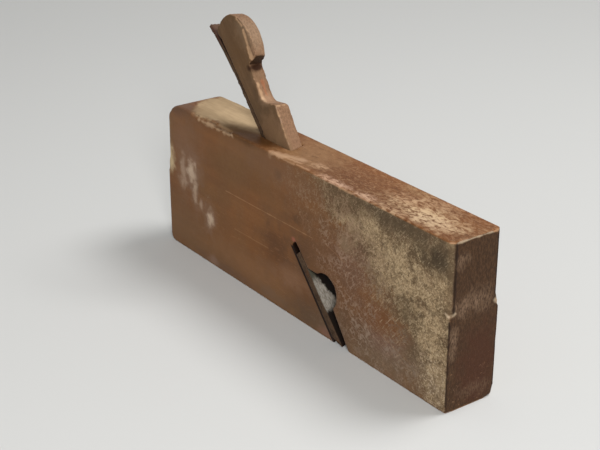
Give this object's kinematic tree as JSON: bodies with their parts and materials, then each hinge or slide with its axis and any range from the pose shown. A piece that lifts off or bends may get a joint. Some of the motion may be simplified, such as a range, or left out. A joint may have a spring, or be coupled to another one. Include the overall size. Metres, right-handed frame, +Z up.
{
  "type": "rebate plane",
  "caption": "Wooden rebate plane with a skewed mouth: a long beech stock, a T-shaped iron that reaches both sides, and a tall wedge with a rounded head that holds it.",
  "frame": {"origin": "middle of the sole", "axes": "+X from the heel to the toe, the way the plane is pushed; +Y to the user's left; +Z up from the sole"},
  "size_m": [0.241, 0.03, 0.1453],
  "materials": {
    "stock_wood": "old oiled beech, stained in patches and worn bare on the arrises and behind the wedge",
    "iron_steel": "forged steel with a brown rust skin, ground bright on the face near the edge",
    "wedge_wood": "dry unfinished beech, darkened by handling and knocked on its edges"
  },
  "bodies": {
    "stock": {"stock": "stock_wood"},
    "iron": {"iron": "iron_steel"},
    "wedge": {"wedge": "wedge_wood"}
  },
  "joints": [
    {"name": "iron_slide", "type": "slide", "parent": "stock", "child": "iron", "axis": [0.6652, 0, -0.7466], "range_m": [-0.004, 0.012]},
    {"name": "wedge_slide", "type": "slide", "parent": "stock", "child": "wedge", "axis": [-0.6781, 0, 0.735], "range_m": [0, 0.084]}
  ]
}
